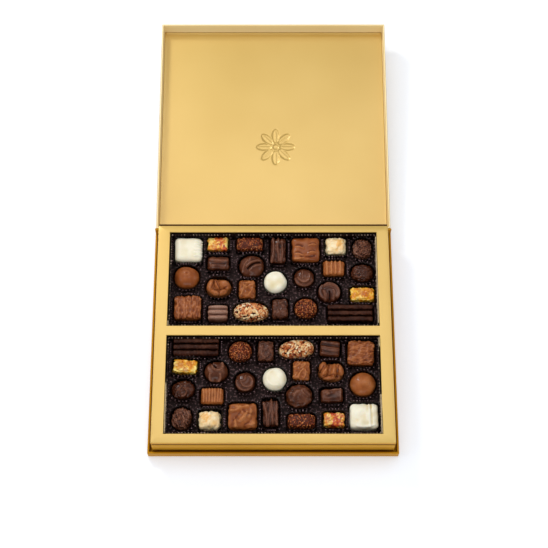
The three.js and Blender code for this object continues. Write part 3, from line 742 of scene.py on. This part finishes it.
# For each kind: its size, how square it is from above and at its top, its look, the marks on the
# one in the rear and in the front tray, patches of stain (x, y, radius, strength), turns in degrees
pralineSizes = {
    "white_square": {
        "size": (29, 26.5, 14.5), "square": (6.5, 4.2), "look": white, "slot": "white_chocolate",
        "rear": [
            stroke(11, 8, 8, 0, 0.9, 1.05), stroke(11, 5.4, 9, 4, 0.9, 1.05),
            stroke(11.5, 2.6, 9, -3, 1.1, 0.8), stroke(11, -0.6, 10, 0, 1, 0.8),
            stroke(11, -3.8, 9, 4, 1, 0.8), stroke(10.5, -8, 8, 3, 1, 0.8),
            stroke(-9.5, 0, 20, 90, 2.4, 0.25, 0.5), grain(9, 0.3)],
        "front": [
            stroke(5.4, 0.5, 23, 91, 1.3, 0.6, 0.3), stroke(7.6, 0.5, 23, 91, 1.6, -0.4, 0.3),
            stroke(1, -11, 17, 2, 2, 0.5, 1.2), grain(7, 0.45), grain(2.6, 0.1)],
    },
    "brittle_bar": {
        "size": (22.7, 16, 13), "square": (11, 9), "look": brittle, "slot": "nut_brittle", "turns": (0, -3),
        "stains": {
            "rear": [
                (1.5, 6, 6, 1), (3.5, -1.5, 5, 0.9), (7.5, -7, 4.5, 1), (-5, -3, 4, 0.6), (-2, -8, 4, 0.9)],
            "front": [
                (-8.5, 0, 4.5, 0.8), (3.5, -2, 7.5, 1), (-1.5, 6, 4.5, 1), (0, -8, 6, 1), (8, 5, 4, 0.8)],
        },
        "rear": [grain(3.4, 0.7), grain(1.7, 0.35), stroke(2, 4, 9, 12, 2.2, 0.6, 0.6)],
        "front": [grain(3.4, 0.7), grain(1.7, 0.35), stroke(-5, 0, 12, 88, 2, 0.6, 0.3)],
    },
    "sprinkle_bar": {
        "size": (28.2, 14.8, 14), "square": (6, 5), "look": nutBase, "slot": "sprinkles",
        "crumbs": {
            "count": 560,
            "size": (1.05, 0.44, 0.42),
            "cover": 1.25,
            "lift": 0.3,
            "tilt": 0.35,
            "shape": "grain",
        },
    },
    "dark_long_bar": {
        "size": (15.8, 28.5, 14), "square": (8, 5.5), "look": deepDark,
        "rear": [
            stroke(-4.8, 0, 26, 88, 2.2, 1.1, 0.9), stroke(-0.6, 1, 26, 92, 2.4, 1.2, -1),
            stroke(4.4, -1, 26, 89, 2.2, 1, 0.7), streak(2.2, 0.35, 90, 9), grain(3, 0.25)],
        "front": [
            stroke(-4.6, -1, 26, 97, 1.9, 1, 0.8), stroke(-1.4, -1, 24, 84, 1.7, 0.9, -0.6),
            stroke(2, 1, 26, 93, 1.8, 1.1, 0.8), stroke(5.4, 0, 25, 90, 1.8, 0.9, -0.5),
            streak(1.9, 0.35, 88, 9), grain(3, 0.2)],
    },
    "milk_wave_square": {
        "size": (28.4, 26.8, 14.5), "square": (9, 5.5), "look": milk, "looks": {"front": warmMilk},
        "slot": "milk_chocolate",
        "rear": [
            stroke(-6.2, 3.6, 7, -12, 1.5, -0.8, -0.8), stroke(-6.2, 2, 8, -12, 1.8, 0.7, -0.8),
            stroke(-6.6, -4.6, 7, -14, 1.5, -0.8, -0.9), stroke(-6.4, -6.2, 8, -12, 1.8, 0.7, -0.9),
            stroke(7.6, 6.2, 6, 4, 1.4, -0.8, -0.7), stroke(7.4, 4.8, 7, 4, 1.7, 0.6, -0.7),
            stroke(6.6, -2.4, 6, 6, 1.4, -0.8, -0.7), stroke(6.6, -3.9, 7, 6, 1.7, 0.6, -0.7),
            stroke(2.5, -9.6, 15, 4, 1.5, -0.9, 1), stroke(-6, -11, 10, 8, 1.8, 0.7, 0.6), grain(6, 0.45)],
        "front": [
            stroke(-6.5, 6, 9, 20, 2.6, 0.8, 1.4), stroke(-5.4, -0.6, 12, 52, 1.6, -0.7, 0.7),
            stroke(1.2, -1.6, 12, 52, 3, 1.2, 0.9), stroke(3.8, 3.2, 10, -30, 1.6, -0.7, 0.8),
            stroke(8, 2.6, 8, 75, 2.4, 0.7, 0.5), stroke(6, -6.8, 9, 40, 1.6, -0.6, 0.6),
            stroke(-7.4, -6.8, 8, 95, 2.4, 0.6, 0.4), stroke(-0.4, 9.2, 12, 4, 2.2, 0.6, 0.8),
            stroke(8.6, -9.4, 6, 10, 2, 0.5, 0.4), grain(4.2, 0.55)],
    },
    "cream_square": {
        "size": (22, 20, 15), "square": (5, 3.4), "look": cream, "slot": "cream_coating",
        "stains": {
            "rear": [(4, 2, 5, 0.85), (1.5, -6, 3, 0.5), (7, -2, 3, 0.5)],
            "front": [(-4.5, 2.5, 5, 0.8), (6, -5, 3, 0.4)],
        },
        "rear": [grain(4.4, 0.8), grain(2.1, 0.25), stroke(3, 1, 12, 75, 2.2, 0.5, 0.6)],
        "front": [grain(4.4, 0.8), grain(2.1, 0.25), stroke(0.5, 1, 15, 86, 2, 0.5, 0.4)],
    },
    "dark_crunch_oval": {
        "size": (20.7, 23, 14.5), "square": (2.4, 2.7), "look": crunchDark, "turns": (0, -12),
        "rear": [grain(2, 0.95), grain(1.2, 0.4), stroke(-7.5, -1, 8, 80, 2, 0.6)],
        "front": [streak(1.5, 0.5, -50, 7), grain(1.8, 0.45)],
    },
    "dark_bar": {
        "size": (22.6, 15, 13.5), "square": (8, 4.5), "look": dark, "turns": (0, 3),
        "rear": [
            stroke(0.4, 2.2, 17, -3, 2.6, 0.75, 0.5), spot(-5.2, -3.6, 2.4, 1.3, 1.1, 10),
            stroke(1, -1.4, 14, 3, 1.7, -0.5), stroke(7.6, -4, 6, 60, 1.6, 0.4), grain(4, 0.3)],
        "front": [
            spot(-4.6, 2.2, 2.4, 1.5, 1.1, -20), stroke(0, 5, 18, 3, 1.8, 0.5),
            spot(-3.4, -0.8, 3, 1, -0.5, 10), stroke(8.6, 0, 11, 88, 1.5, 0.5), grain(4, 0.35)],
    },
    "dark_large_round": {
        "size": (27, 24.5, 15), "square": (2.15, 2.3), "look": dark,
        "rear": [
            stroke(1.8, 0.4, 15, 28, 1.6, -1.3, -1.4), stroke(1, 2.6, 15, 27, 2.4, 0.9, -1.4),
            stroke(3, -2.4, 13, 28, 2.2, 0.5, -1), spot(-1.6, 6.8, 2.2, 1.2, 0.9, 80),
            stroke(-7.8, -1, 12, 66, 1.8, 0.7, -1), grain(4, 0.3)],
        "front": [
            spot(-5.5, 0.2, 1.8, 1.2, 0.9, 10), spot(-1.5, 3, 4.5, 1.6, 0.5, 40),
            stroke(5, 1, 9, -50, 1.8, 0.45, 0.8), grain(4.5, 0.55), grain(1.8, 0.12)],
    },
    "milk_dome": {
        "size": (25.7, 25, 16), "square": (2.1, 2.25), "look": milk, "looks": {"front": warmMilk},
        "slot": "milk_chocolate",
        "rear": [spot(0.2, 2.2, 1.5, 1.1, -0.7), spot(0.2, 2.2, 3.4, 2.8, 0.35), grain(8, 0.3)],
        "front": [spot(1.6, 1.4, 6.5, 5, 0.5, 20), grain(9, 0.4)],
    },
    "milk_nut_cluster": {
        "size": (30, 22.5, 15.5), "look": nutMilk, "slot": "milk_chocolate",
        "nuts": {  # middle, half length, half width, half height, turn
            "rear": [
                (0, -0.2, -2.6, 14.6, 10.4, 5.4, 0), (-8.8, 1.8, 1.2, 7, 4.4, 5.6, 68),
                (-2.2, 2.6, 0.8, 6.6, 3.6, 5.4, 112), (6.8, 2, 1.2, 7.6, 5.2, 5.8, -26),
                (-4.4, -5.8, 0.2, 6.4, 3.2, 4.8, -20), (4.6, -5.6, 0.4, 6.6, 3.4, 4.8, 20)],
            "front": [
                (0.4, -0.6, -2.8, 14.4, 10.2, 5.4, 0), (-8.8, 5, 0.2, 5.8, 4.2, 5.4, 62),
                (-6.8, -1.2, 1.6, 6.6, 3.4, 5.6, 52), (3.2, 0.2, 1.8, 7.8, 3.8, 6, 80),
                (9.4, 2, 0.4, 7.2, 4.4, 5.6, -60), (-1.6, -7, 0.2, 7.6, 2.8, 4.4, 4)],
        },
        "rear": [
            stroke(-5.4, 3, 10, 74, 1.3, -0.55, 0.4), stroke(-0.2, 0.6, 10, 122, 1.4, -0.6, -0.6),
            stroke(2.6, -3.4, 14, 8, 1.4, -0.5, 0.9), stroke(0.4, -6.6, 6, 96, 1.2, -0.5, 0.2),
            spot(8.6, 3, 2.6, 1.4, 0.35, -30), spot(-9.2, 2, 1.3, 3.2, 0.3, -20), grain(3, 0.2)],
        "front": [
            stroke(-2.4, 2.4, 12, 80, 1.4, -0.6, 0.5), stroke(-9.6, 1.8, 7, 44, 1.2, -0.5, 0.5),
            stroke(7.2, 0.2, 11, 84, 1.4, -0.6, -0.7), stroke(-0.8, -4.8, 16, 2, 1.4, -0.5, -0.9),
            spot(-6.4, -0.8, 3.4, 0.9, 0.35, 52), spot(3.4, 0.8, 4, 0.9, 0.35, 80), grain(3, 0.2)],
    },
    "milk_small_square": {
        "size": (17.5, 20.3, 14.5), "square": (9, 6), "look": warmMilk, "slot": "milk_chocolate",
        "turns": (0, -2),
        "rear": [
            stroke(2, 6.6, 9, 8, 1.4, 0.6, 0.8), stroke(1.6, 3, 8, 30, 1.4, 0.6, -0.8),
            stroke(-4.4, 0, 14, 80, 1.6, 0.6, 0.8), stroke(4.4, -3.2, 9, 60, 1.4, 0.5, 0.8), grain(2.8, 0.6)],
        "front": [
            stroke(-3.8, 4.6, 9, 40, 1.5, 0.7, 1), stroke(2.6, 4.2, 8, 50, 1.5, 0.6, 1),
            stroke(-1, -2.8, 11, 62, 1.6, 0.7, -1), stroke(4.8, -4.2, 9, 82, 1.5, 0.6, 0.8),
            stroke(-5.4, -5.2, 7, 50, 1.4, 0.5, 0.6), grain(2.8, 0.6)],
    },
    "white_round": {
        "size": (23.9, 23.4, 15.5), "square": (2.1, 3.4), "look": white, "slot": "white_chocolate",
        "rear": [arc(-0.4, 0.6, 8.6, 1.6, 0.28, 20, 170), grain(8, 0.35)],
        "front": [arc(0.4, 0.2, 8.4, 1.6, 0.22, 100, 290), grain(8, 0.35)],
    },
    "dark_small_round": {
        "size": (21, 21, 15), "square": (2.1, 2.3), "look": dark,
        "rear": [
            arc(-0.4, 0.6, 5.6, 1.7, 0.75, 200, 20), stroke(-1.6, 1.4, 8, 92, 1.4, 0.6, 0.3),
            arc(-0.2, -0.8, 5.4, 1.6, 0.75, 190, 330), arc(0, 0, 9, 1.8, 0.5, 190, 340), grain(4, 0.2)],
        "front": [
            spot(0.2, 3.2, 2.9, 1.1, 1.3, 78), arc(1.6, -0.6, 5.4, 1.5, 0.7, 200, 70),
            arc(-0.2, -0.4, 8.2, 1.6, 0.55, 170, 330), spot(-4, -0.6, 1.8, 1.2, 0.5, 40), grain(4, 0.2)],
    },
    "milk_ridged_bar": {
        "size": (22.1, 16.5, 13.5), "square": (9, 6), "look": warmMilk, "slot": "milk_chocolate",
        "rear": [
            stroke(-7.2, 0, 13, 92, 2.2, 0.9, 0.3), stroke(-2.6, 0, 13, 89, 2, 0.9, -0.3),
            stroke(1.8, 0, 13, 91, 2, 0.9, 0.3), stroke(6.6, 0, 13, 88, 2.2, 0.9, 0.2), grain(2.4, 0.3)],
        "front": [
            stroke(-8.2, 0, 13, 94, 1.3, 0.7, 0.3), stroke(-5.4, 0, 13, 92, 1.3, 0.7, 0.3),
            stroke(-2.6, 0, 13, 90, 1.3, 0.8, 0.2), stroke(0.2, 0, 13, 90, 1.3, 0.8, -0.2),
            stroke(3, 0, 13, 89, 1.3, 0.8, 0.2), stroke(5.8, 0, 13, 88, 1.3, 0.7, -0.2),
            stroke(8.4, 0, 13, 87, 1.2, 0.6, 0.2), grain(2.6, 0.25)],
    },
    "dark_wide_oval": {
        "size": (23.6, 19.8, 14.5), "square": (2.3, 2.5), "look": deepDark, "turns": (0, 12),
        "rear": [
            spot(-6.4, -5.2, 1.3, 1.1, 0.9), spot(-8.2, -2.2, 1.3, 1, 0.9, 30),
            spot(-4.4, -2.6, 1.2, 1, 0.8), spot(-6.6, 0.6, 1.3, 0.9, 0.8, 60), spot(-3, -6, 1.6, 1, 0.9, 10),
            spot(-7.2, 3.4, 1.4, 0.9, 0.6, 40), spot(-1.2, -3.4, 1.1, 0.9, 0.6), grain(2.6, 0.5)],
        "front": [
            arc(-6, 3, 4.4, 1.2, 0.6, 280, 60), arc(-1.6, -3.4, 4.2, 1.2, 0.7, 250, 60),
            stroke(-6.6, -1.8, 9, 50, 1.2, 0.6, -0.8), stroke(3, 4, 8, 10, 1.2, 0.35, -0.8), grain(2.4, 0.4)],
    },
    "dark_swirl_round": {
        "size": (23.5, 22.2, 15.5), "square": (2.15, 2.3), "look": dark, "looks": {"rear": deepDark},
        "rear": [
            arc(0.4, -1.6, 8, 2.6, 1.3, -30, 130), stroke(0.2, -5.8, 8, 90, 1.3, -0.9, 0.3),
            spot(-1.6, 8.2, 3.2, 1.2, 0.8, 10), stroke(-4.4, -4.8, 8, 100, 3, 0.8, 0.4),
            stroke(4.4, -4.4, 8, 84, 3, 0.7, 0.4), arc(0, 0, 9.6, 1.6, 0.6, 140, 230)],
        "front": [
            stroke(-3.2, 6.2, 9, 118, 1.9, -1, -0.8), arc(1.4, 4.6, 5, 2.2, 1, 150, 40),
            arc(-0.8, -6.2, 5.2, 2, 1, 150, 20), spot(-6.8, 1.6, 3.6, 1.6, 0.8, 100),
            spot(6.2, 0.6, 4.4, 2.4, 0.5, 100)],
    },
    "honey_nut_bar": {
        "size": (26.4, 16, 12.5), "square": (11, 9), "look": honey, "slot": "honey_nuts", "turns": (0, -5),
        "stains": {
            "rear": [(-3, 4.5, 4, 0.55), (2.5, -1, 5, 0.8), (-6, -2, 3.5, 0.4), (9, 4, 3, 0.3)],
            "front": [(-6, 0, 6, 0.6), (4, 3.5, 4, 0.6), (0, -4, 4, 0.7), (9, -3, 3, 0.35)],
        },
        "rear": [grain(3.2, 0.8), grain(1.6, 0.4), stroke(1, -7.4, 16, 4, 2, -1, 0.8)],
        "front": [grain(3.2, 0.8), grain(1.6, 0.4), stroke(-2, -7.6, 15, -2, 2, -1, 0.8)],
    },
    "milk_line_square": {
        "size": (27.2, 25.6, 14.5), "square": (10, 6.5), "look": milk, "slot": "milk_chocolate",
        "turns": (0, -2),
        "rear": [streak(1.5, 0.5, 90, 7), grain(2.6, 0.3), spot(1.6, 5.8, 1.3, 1, 0.7)],
        "front": [streak(1.7, 0.45, 4, 7), streak(2.1, 0.25, 50, 6), grain(2.4, 0.3)],
    },
    "dark_wave_bar": {
        "size": (20.3, 17, 14), "square": (9, 6), "look": dark, "looks": {"rear": sheenPaleDark},
        "turns": (0, -5),
        "rear": [
            spot(0, 6, 11, 1.5, 0.9), spot(0, 0.8, 11, 1.9, 1.2), spot(0, -5.2, 11, 1.6, 1),
            stroke(0, 3.5, 18, 0, 0.9, -0.7, 0.5), stroke(0, -2.3, 18, 0, 0.9, -0.8, 0.8), grain(4, 0.12)],
        "front": [
            stroke(0, 5.4, 18, -4, 1, 0.5, 0.2), stroke(0, 2.6, 18, -4, 2.6, -0.5, 0.2),
            stroke(0, -0.6, 18, -4, 1, 0.55, 0.2), stroke(0, -2.4, 18, -4, 0.9, 0.5, 0.2),
            stroke(0, -4.9, 18, -5, 2.2, -0.4, 0.2), grain(4, 0.15)],
    },
    "chopped_nut_oval": {
        "size": (38.2, 21.2, 16.5), "square": (2.3, 2.4), "look": nutBase, "second": chips,
        "slot": "chopped_nuts", "turns": (-2, 9),
        "crumbs": {
            "count": 330,
            "size": (1.7, 0.95, 0.7),
            "cover": 1.2,
            "lift": 0.7,
            "tilt": 0.9,
            "shape": "chip",
        },
    },
    "dark_small_bar": {
        "size": (16.8, 21.8, 14), "square": (8, 5.5), "look": dark, "looks": {"front": crunchDark},
        "rear": [
            grain(1.5, 0.4), grain(4, 0.5), stroke(1.6, 6.2, 3.4, 38, 0.9, 0.9), spot(4, 8, 0.8, 0.7, 0.7)],
        "front": [
            grain(1.5, 0.45), grain(4, 0.5), spot(2.2, -6.8, 1.3, 0.7, 1, 30), spot(3.6, 3, 0.7, 0.6, 0.6)],
    },
    "sprinkle_ball": {
        "size": (24.2, 23, 16.5), "square": (2.1, 2.2), "look": nutBase, "slot": "sprinkles",
        "crumbs": {
            "count": 700,
            "size": (1.05, 0.44, 0.42),
            "cover": 1.2,
            "lift": 0.3,
            "tilt": 0.4,
            "shape": "grain",
        },
    },
}


def buildPraline(kind, side, seed):
    s = pralineSizes[kind]
    w, d, h = size = s["size"]
    inset = 1.3  # room for the crumbs
    looks = [s.get("looks", {}).get(side, s["look"])]
    flat = ()
    if "crumbs" in s:
        size = (w - inset, d - inset, h - inset / 2)
    if "nuts" in s:
        bm = formCluster(s["nuts"][side])
    else:
        bm = formBody(size, *s["square"], fine="crumbs" not in s)
    applyRelief(bm, s.get(side, [grain(4, 0.3)]), seed)
    if "stains" in s:
        paintStains(bm, s["stains"][side], seed)
    if "crumbs" in s:
        scatterCrumbs(bm, s["crumbs"], size, *s["square"], seed)
        looks.append(s.get("second", grains))
        flat = (1,) if s["crumbs"]["shape"] == "chip" else ()
    fitTo(bm, f"{kind}_{side}", s.get("turns", (0, 0))[side == "front"])
    addPiece(f"{kind}_{side}_dressed", bm, "base", looks, [f"{kind}_{side}"], flat)


for order, kind in enumerate(pralineSizes):
    buildPraline(kind, "rear", order * 7 + 3)
    buildPraline(kind, "front", order * 7 + 5)

stickSizes = {"cuts": 46, "corner": 0.9, "wave": 0.45, "lift": 0.6, "grain": (1.6, 0.3), "ridge": 0.9}


def buildStick(number, side, s):
    node = f"dark_stick_{number}_{side}"
    low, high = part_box(node)
    size = (high - low) / mm
    bm = bmesh.new()
    addBlock(bm, size)
    roundEdges(bm, list(bm.edges), s["corner"], 3, clamp=False)
    longEdges = [e for e in bm.edges if e.calc_length() > size.x * 0.8]
    bmesh.ops.subdivide_edges(bm, edges=longEdges, cuts=s["cuts"], use_grid_fill=True)
    seed = number * 5 + (31 if side == "rear" else 0)
    for v in bm.verts:
        wave = noise.noise(Vector((v.co.x / 9 + seed, v.co.y / 6, v.co.z / 9))) * s["wave"]
        v.co.y += wave
        v.co.z += wave * s["lift"] if v.co.z > 0 else 0
    applyRelief(bm, [grain(*s["grain"]), stroke(0, 0.3, size.x * s["ridge"], 0, 1.3, 0.5, 0.3)], seed)
    fitTo(bm, node)
    addPiece(f"stick_{number}_{side}_dressed", bm, "base", [shadedStickDark], [node])


for side in ("rear", "front"):
    for number in (1, 2, 3):
        buildStick(number, side, stickSizes)
print("pralines ready")


# Paper cups
# Each level has its height over the foot, how far it stands out, and the depth of its flutes.

cupSizes = {
    "pitch": 3.0, "foot": 16.3, "levels": (0.0, 2.6, 6.0, 9.4, 10.2), "offsets": (0.35, 0.5, 0.75, 1.2, 2.1),
    "flutes": (0.12, 0.28, 0.36, 0.5, 0.75), "thick": 0.1, "bedTop": 19.6, "rimRagged": 0.35,
    "wallTip": 0.5, "bead": (0.5, 0.5, 0.35),
}
liningSizes = {
    "inset": 1.0, "gap": 0.9, "pitch": 3.1, "deep": 0.35, "levels": (18.0, 28.0, 31.6, 32.0),
    "lips": (0, 0, 0, 0.3), "thick": 0.12, "ragged": 0.25, "wallTip": 0.4, "bead": (0.55, 0.55, 0.35),
}


def addBeads(bm, places, s, rng):
    # the rolled tip of each pleat, painted pale so that it shows as a highlight dot
    tip = layerOf(bm, "tip")
    for place in places:
        turn = Matrix.Rotation(rng.uniform(0, math.pi), 4, "Z")
        size = Matrix.Diagonal((*[side * rng.uniform(0.75, 1.15) for side in s["bead"]], 1))
        matrix = Matrix.Translation(place) @ turn @ size
        made = bmesh.ops.create_icosphere(bm, subdivisions=1, radius=1, matrix=matrix)["verts"]
        shine = rng.uniform(0.35, 1)
        for v in made:
            v[tip] = shine


def flutedRing(bm, low, high, power, s, rng):
    # a paper wall round one piece, its flutes opening towards the rim
    tip = layerOf(bm, "tip")
    half = [(high[i] - low[i]) / 2 for i in range(2)]
    centre = [(low[i] + high[i]) / 2 for i in range(2)]
    flutes = max(int((half[0] + half[1]) * 4 / s["pitch"] * (0.8 if power < 3 else 1)), 12)
    loop = bmesh.ops.create_circle(bm, cap_ends=False, radius=1, segments=flutes * 2)["verts"]
    angles = [math.atan2(v.co.y, v.co.x) for v in loop]
    rings = [loop]
    edges = list({e for v in loop for e in v.link_edges})
    for _ in s["levels"][1:]:
        verts, edges = extrudeEdges(bm, edges)
        byAngle = {round(math.atan2(v.co.y, v.co.x), 4): v for v in verts}
        rings.append([byAngle[round(a, 4)] for a in angles])
    for level, ring in enumerate(rings):
        for i, (v, a) in enumerate(zip(ring, angles)):
            # painted highlight: every other flute grows paler towards the rim
            v[tip] = (level / (len(rings) - 1)) ** 4 * (rng.uniform(0.3, 1) * s["wallTip"] if i % 2 else 0.0)
            reach = (abs(math.cos(a)) ** power + abs(math.sin(a)) ** power) ** (-1 / power)
            out = s["offsets"][level] + (s["flutes"][level] if i % 2 else -s["flutes"][level])
            x = math.cos(a) * reach * half[0]
            y = math.sin(a) * reach * half[1]
            nx = math.copysign(abs(x / half[0]) ** (power - 1), x) / half[0]
            ny = math.copysign(abs(y / half[1]) ** (power - 1), y) / half[1]
            length = math.hypot(nx, ny)
            z = s["foot"] + s["levels"][level]
            if ring is rings[-1]:
                z += rng.uniform(-1, 1) * s["rimRagged"]
            v.co = (centre[0] + x + nx / length * out, centre[1] + y + ny / length * out, z)
    addBeads(bm, [v.co.copy() for v in rings[-1][1::2]], s, rng)


def finishPaper(bm, name, thick, look):
    toMetres(bm)
    bmesh.ops.recalc_face_normals(bm, faces=bm.faces)
    piece = addPiece(name, bm, "base", [look], flat=(0,))
    wall = piece.modifiers.new("paper", "SOLIDIFY")
    wall.thickness = thick * mm
    wall.offset = 0


def buildCups(side, s):
    rng = random.Random(5 if side == "rear" else 8)
    bed = solidCopy("paper_cups_" + side)
    for v in bed.verts:  # the cups stand free above a lower bed
        if v.co.z > 25 * mm:
            v.co.z = s["bedTop"] * mm
    addPiece("cup_bed_" + side, bed, "base", [glintSpeckled], ["paper_cups_" + side], flat=(0,))
    bm = bmesh.new()
    for kind, praline in pralineSizes.items():
        power = 9 if praline.get("square", (2.3,))[0] > 4.5 else 2.3
        flutedRing(bm, *boxInMm(f"{kind}_{side}"), power, s, rng)
    sticks = [boxInMm(f"dark_stick_{n}_{side}") for n in (1, 2, 3)]  # one cup holds all three
    low = [min(box[0][i] for box in sticks) for i in range(2)]
    high = [max(box[1][i] for box in sticks) for i in range(2)]
    flutedRing(bm, low, high, 14, s, rng)
    finishPaper(bm, "fluted_cups_" + side, s["thick"], glassine)


def foldedRun(bm, start, end, inward, s, rng):
    # a pleated strip that lines one side of a window
    tip = layerOf(bm, "tip")
    length = math.dist(start, end)
    count = int(length / s["pitch"]) * 2
    last = len(s["levels"]) - 1
    row = bmesh.ops.create_grid(bm, x_segments=count, y_segments=last, size=1)["verts"]
    along = ((end[0] - start[0]) / length, (end[1] - start[1]) / length)
    tips = []
    for v in row:
        i = round((v.co.x + 1) / 2 * count)
        level = round((v.co.y + 1) / 2 * last)
        out = s["inset"] + (s["deep"] if i % 2 else -s["deep"]) * (0.5 + 0.25 * level) + s["lips"][level]
        reach = length * i / count
        # painted highlight: every other pleat grows paler towards the top
        v[tip] = (level / last) ** 4 * (rng.uniform(0.5, 1) * s["wallTip"] if i % 2 else 0.0)
        z = s["levels"][level] + (rng.uniform(-s["ragged"], s["ragged"]) if level == last else 0)
        x, y = (start[k] + along[k] * reach + inward[k] * out for k in (0, 1))
        v.co = (x, y, z)
        if i % 2 and level == last:
            tips.append(v.co.copy())
    addBeads(bm, tips, s, rng)


def buildLining(side, s):
    rng = random.Random(11 if side == "rear" else 14)
    wx, gap = frameSizes["windowX"], s["gap"]
    y0, y1 = frameSizes[side + "Window"]
    bm = bmesh.new()
    runs = [
        ((-wx + gap, y1), (wx - gap, y1), (0, -1)), ((wx - gap, y0), (-wx + gap, y0), (0, 1)),
        ((-wx, y0 + gap), (-wx, y1 - gap), (1, 0)), ((wx, y1 - gap), (wx, y0 + gap), (-1, 0)),
    ]
    for start, end, inward in runs:
        foldedRun(bm, start, end, inward, s, rng)
    finishPaper(bm, "fluted_lining_" + side, s["thick"], lining)


# Cut edges of the pale board that show beside the lining: side of the window, from y, to y
boardSizes = {
    "inset": 0.3, "thick": 0.8, "bottom": 22.0, "top": 33.6, "corner": 0.15,
    "rear": ((1, 9.0, 104.0), (-1, 6.0, 11.5)),
    "front": ((-1, -105.6, -54.0), (1, -105.6, -66.0), (1, -16.0, -6.2)),
}


def buildBoard(side, s):
    bm = bmesh.new()
    for hand, y0, y1 in s[side]:
        x = hand * (frameSizes["windowX"] - s["inset"] - s["thick"] / 2)
        size = (s["thick"], y1 - y0, s["top"] - s["bottom"])
        addBlock(bm, size, (x, (y0 + y1) / 2, (s["bottom"] + s["top"]) / 2))
    roundEdges(bm, list(bm.edges), s["corner"], 2, clamp=False)
    toMetres(bm)
    keepFlats(addPiece("board_edge_" + side, bm, "base", [board]))


for side in ("rear", "front"):
    buildCups(side, cupSizes)
    buildLining(side, liningSizes)
    buildBoard(side, boardSizes)
print("paper cups ready")


# Studio

stageSizes = {"floor": 3.0, "world": 0.5, "glow": 0.26}
floorLook, floorTree, floorShader = newLook("paleFloor", 0.9, gloss=0.1)
floorTint = rampOf(floorTree, grainOf(floorTree, 3, 2), [(0.3, (236, 241, 250)), (0.7, (240, 245, 253))])
wire(floorShader, {
    "Base Color": floorTint, "Emission Color": (0.98, 0.99, 1, 1), "Emission Strength": stageSizes["glow"],
})
bm = bmesh.new()
bmesh.ops.create_grid(bm, x_segments=1, y_segments=1, size=stageSizes["floor"])
floorMesh = bpy.data.meshes.new("studioFloor")
bm.to_mesh(floorMesh)
bm.free()
floorMesh.materials.append(floorLook)
floor = bpy.data.objects.new("studioFloor", floorMesh)
scene.collection.objects.link(floor)

scene.world = bpy.data.worlds.new("studio")
scene.world.use_nodes = True
background = scene.world.node_tree.nodes["Background"]
wire(background, {"Color": (1, 1, 1, 1), "Strength": stageSizes["world"]})

lightSizes = {
    "overhead": {"at": (-0.08, 0.415, 1.3), "aim": (0, 0.05, 0), "size": (1.04, 0.64), "power": 3.95},
    "key": {"at": (-0.5, 0.75, 0.8), "aim": (0, 0, 0), "size": (0.2, 0.2), "power": 3.0},
    "left": {"at": (-1.3, -0.1, 0.9), "aim": (0, 0.1, 0), "size": (0.9, 1.0), "power": 3.0},
    "right": {"at": (1.4, 0.3, 0.8), "aim": (0, 0.1, 0), "size": (0.6, 0.9), "power": 2.2},
    "front": {"at": (0.0, -1.4, 0.75), "aim": (0, 0.1, 0), "size": (1.2, 0.5), "power": 4.8},
}
for name, s in lightSizes.items():
    lamp = bpy.data.lights.new(name + "Panel", "AREA")
    lamp.shape = "RECTANGLE"
    lamp.size, lamp.size_y = s["size"]
    lamp.energy = s["power"]
    panel = bpy.data.objects.new(name + "Panel", lamp)
    panel.location = s["at"]
    panel.rotation_euler = (Vector(s["aim"]) - Vector(s["at"])).to_track_quat("-Z", "Y").to_euler()
    scene.collection.objects.link(panel)

cameraSizes = {"at": (0.0008, -0.4478, 1.2454), "tilt": 22.82, "lens": 84.5, "sensor": 36}
lens = bpy.data.cameras.new("camera")
lens.sensor_width = cameraSizes["sensor"]
lens.lens = cameraSizes["lens"]
lens.clip_start = 0.05
camera = bpy.data.objects.new("camera", lens)
camera.location = cameraSizes["at"]
camera.rotation_euler = (math.radians(cameraSizes["tilt"]), 0, 0)
scene.collection.objects.link(camera)
scene.camera = camera
scene.view_settings.view_transform = "Standard"
scene.view_settings.look = "None"

print("scene ready")
